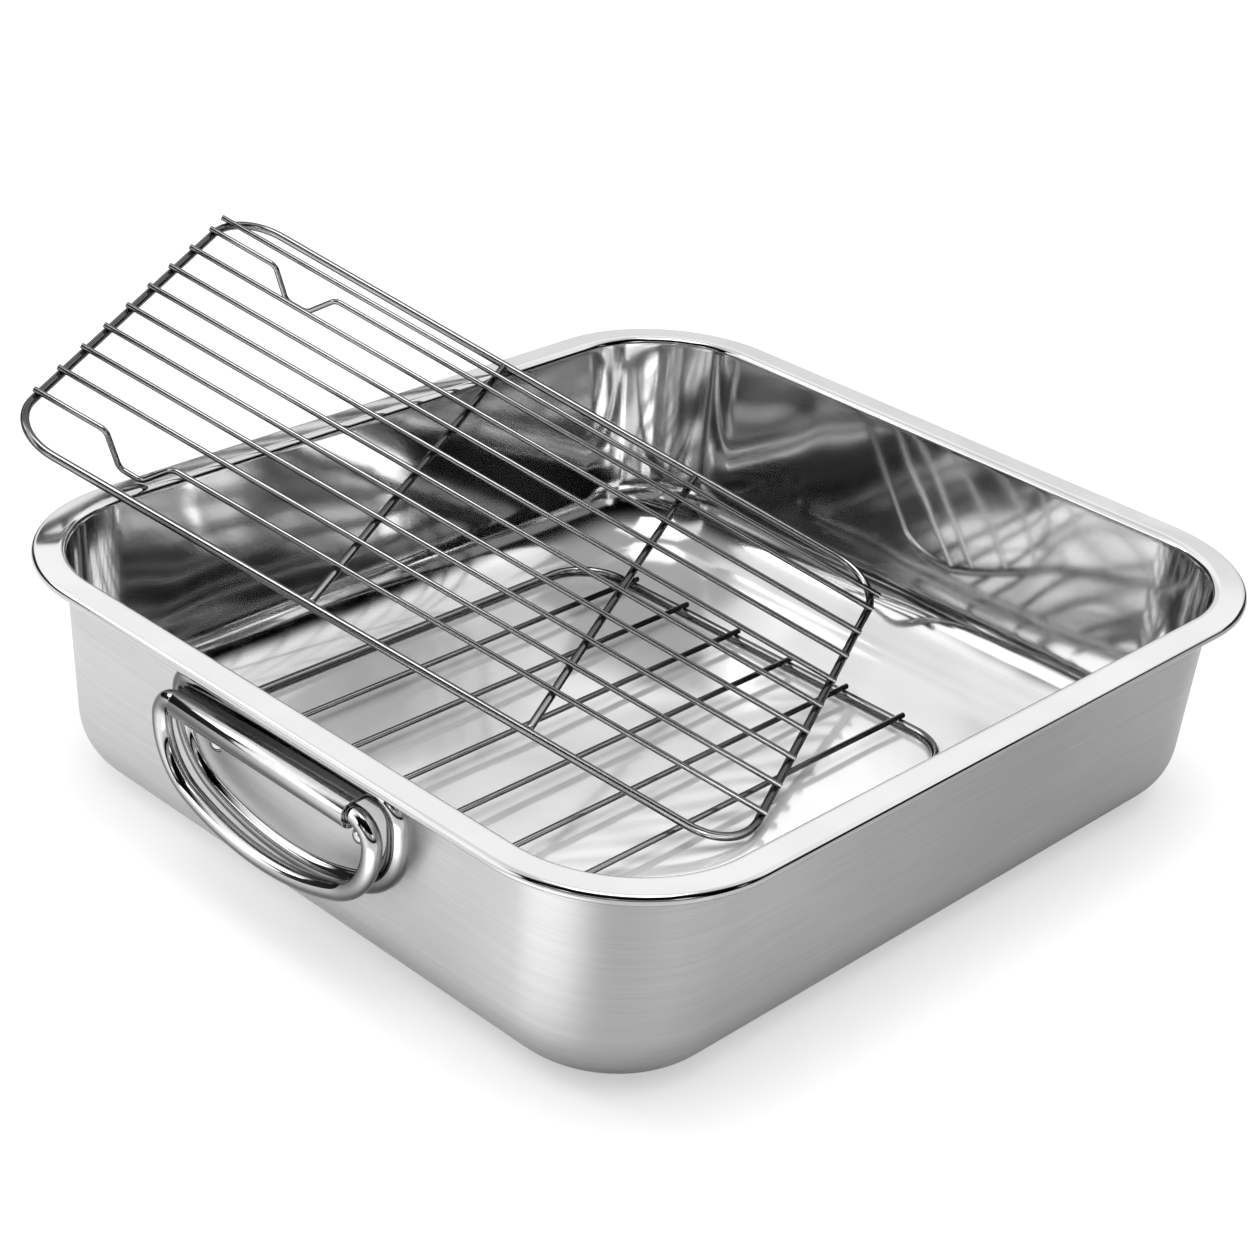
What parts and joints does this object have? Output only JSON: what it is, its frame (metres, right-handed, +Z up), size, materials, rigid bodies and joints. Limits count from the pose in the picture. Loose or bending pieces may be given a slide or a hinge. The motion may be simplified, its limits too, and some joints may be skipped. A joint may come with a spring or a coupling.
{
  "type": "roasting pan with racks",
  "caption": "Deep rectangular steel roasting pan with round corners, a flat rim, drop handles on its short sides and loose wire racks, one flat on the floor and one leaning on the rim.",
  "frame": {"origin": "centre of the pan's base, on its underside", "axes": "+Z up; X along the two short sides that carry the handles, with the tilted rack over the -X rim; Y along the long sides, with the front handle on -Y"},
  "size_m": [0.3985, 0.3458, 0.1312],
  "materials": {
    "pan_steel": "brushed outside, mirror polished inside and on the rim",
    "bracket_steel": "polished",
    "rivet_steel": "polished",
    "handle_steel": "polished",
    "rack_wire": "bright chrome"
  },
  "bodies": {
    "pan": {"pan": "pan_steel", "bracket_front": "bracket_steel", "rivets_front": "rivet_steel", "bracket_rear": "bracket_steel", "rivets_rear": "rivet_steel"},
    "handle_front": {"handle_front": "handle_steel"},
    "handle_rear": {"handle_rear": "handle_steel"},
    "lower_rack": {"lower_frame": "rack_wire", "lower_wire_1": "rack_wire", "lower_wire_2": "rack_wire", "lower_wire_3": "rack_wire", "lower_wire_4": "rack_wire", "lower_wire_5": "rack_wire", "lower_wire_6": "rack_wire"},
    "upper_rack": {"upper_frame": "rack_wire", "upper_foot_wire_far": "rack_wire", "upper_wire_1": "rack_wire", "upper_wire_2": "rack_wire", "upper_wire_3": "rack_wire", "upper_wire_4": "rack_wire", "upper_wire_5": "rack_wire", "upper_wire_6": "rack_wire", "upper_wire_7": "rack_wire", "upper_foot_wire_near": "rack_wire", "upper_edge_wire": "rack_wire", "upper_cross_wire_left": "rack_wire", "upper_cross_wire_right": "rack_wire"}
  },
  "joints": [
    {"name": "front_handle_hinge", "type": "hinge", "parent": "pan", "child": "handle_front", "pos_m": [0, -0.16806, 0.0675], "axis": [-1, 0, 0], "range_deg": [-5, 150]},
    {"name": "rear_handle_hinge", "type": "hinge", "parent": "pan", "child": "handle_rear", "pos_m": [0, 0.16806, 0.0675], "axis": [1, 0, 0], "range_deg": [-5, 150]},
    {"name": "lower_rack_lift", "type": "slide", "parent": "pan", "child": "lower_rack", "axis": [0, 0, 1], "range_m": [0, 0.1]},
    {"name": "upper_rack_lift", "type": "slide", "parent": "lower_rack", "child": "upper_rack", "axis": [0, 0, 1], "range_m": [0, 0.12]}
  ]
}
